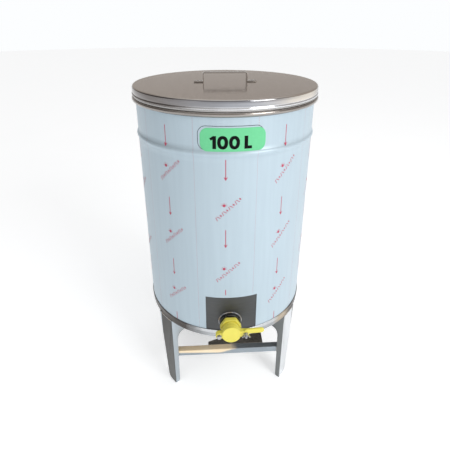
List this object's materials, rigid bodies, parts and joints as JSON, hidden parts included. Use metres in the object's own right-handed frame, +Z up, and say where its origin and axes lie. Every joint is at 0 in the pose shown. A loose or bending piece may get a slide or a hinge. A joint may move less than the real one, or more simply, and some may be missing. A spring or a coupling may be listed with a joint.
{
  "type": "honey settling tank",
  "caption": "Stainless honey settling and bottling tank with a lift-off lid and a plastic honey gate, on a welded stand with legs.",
  "frame": {"origin": "on the floor, below the middle of the object's bounding box; the drum's axis is 26 mm behind it", "axes": "+Z up along the drum's axis, -Y towards the front where the gate is, +X to the right seen from the front"},
  "size_m": [0.4776, 0.5299, 0.9213],
  "materials": {
    "drum_steel": "satin",
    "lid_steel": "brushed satin",
    "stand_steel": "satin mill finish",
    "fastener_steel": "bright zinc",
    "film": "pale blue translucent film with red print",
    "label": "satin printed label",
    "gate_plastic": "moulded, semi-gloss yellow",
    "seal_rubber": "matt black"
  },
  "bodies": {
    "stand_and_drum": {"drum_shell": "drum_steel", "rim_wire": "drum_steel", "drum_bottom": "drum_steel", "protective_film": "film", "capacity_label": "label", "stand_hoop": "stand_steel", "tie_plate": "stand_steel", "leg_front_left": "stand_steel", "leg_front_right": "stand_steel", "leg_rear_right": "stand_steel", "leg_rear_left": "stand_steel", "crossbar_front": "stand_steel", "crossbar_rear": "stand_steel", "outlet_socket": "drum_steel", "gate_gasket": "seal_rubber", "gate_lock_nut": "gate_plastic", "gate_body": "gate_plastic", "pivot_washer": "fastener_steel", "lock_washer": "fastener_steel", "pivot_bolt": "fastener_steel", "pivot_nut": "fastener_steel", "lock_bolt": "fastener_steel"},
    "lid": {"lid_panel": "lid_steel", "lid_locating_ring": "drum_steel", "lid_handle": "lid_steel"},
    "gate_blade": {"gate_blade": "gate_plastic"},
    "wing_nut": {"wing_nut": "fastener_steel"}
  },
  "joints": [
    {"name": "lid_lift", "type": "slide", "parent": "stand_and_drum", "child": "lid", "axis": [0, 0, 1], "range_m": [0, 0.25]},
    {"name": "gate_swing", "type": "hinge", "parent": "stand_and_drum", "child": "gate_blade", "pos_m": [-0.0315, -0.24915, 0.304], "axis": [0, -1, 0], "range_deg": [0, 85]},
    {"name": "wing_nut_turn", "type": "hinge", "parent": "stand_and_drum", "child": "wing_nut", "pos_m": [0.037, -0.25695, 0.308], "axis": [0, -1, 0], "range_deg": [0, 450]}
  ]
}
